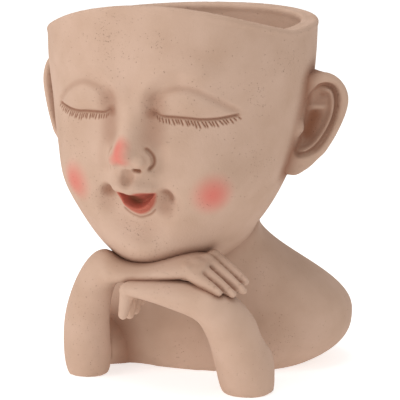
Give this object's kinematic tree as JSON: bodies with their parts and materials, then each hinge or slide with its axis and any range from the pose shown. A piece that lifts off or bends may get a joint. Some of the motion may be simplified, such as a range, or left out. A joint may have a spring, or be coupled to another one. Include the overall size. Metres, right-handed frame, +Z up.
{
  "type": "head planter",
  "caption": "Free-standing planter cast as a head with closed eyes, its chin on crossed hands before a hollow shoulder bust, open at the top for soil and a plant, with a drain plug.",
  "frame": {"origin": "middle of the footprint, on the surface that it stands on", "axes": "+Z up, the face looks along -Y, and the figure's left side is +X"},
  "size_m": [0.152, 0.1442, 0.1791],
  "materials": {
    "clay_cast": "matte",
    "plug_rubber": "matte"
  },
  "bodies": {
    "planter": {"head_pot": "clay_cast", "left_ear": "clay_cast", "right_ear": "clay_cast", "bust": "clay_cast", "right_arm": "clay_cast", "left_arm": "clay_cast"},
    "plug": {"drain_plug": "plug_rubber"}
  },
  "joints": [
    {"name": "plug_pull", "type": "slide", "parent": "planter", "child": "plug", "axis": [0, 0, -1], "range_m": [0, 0.031]}
  ]
}
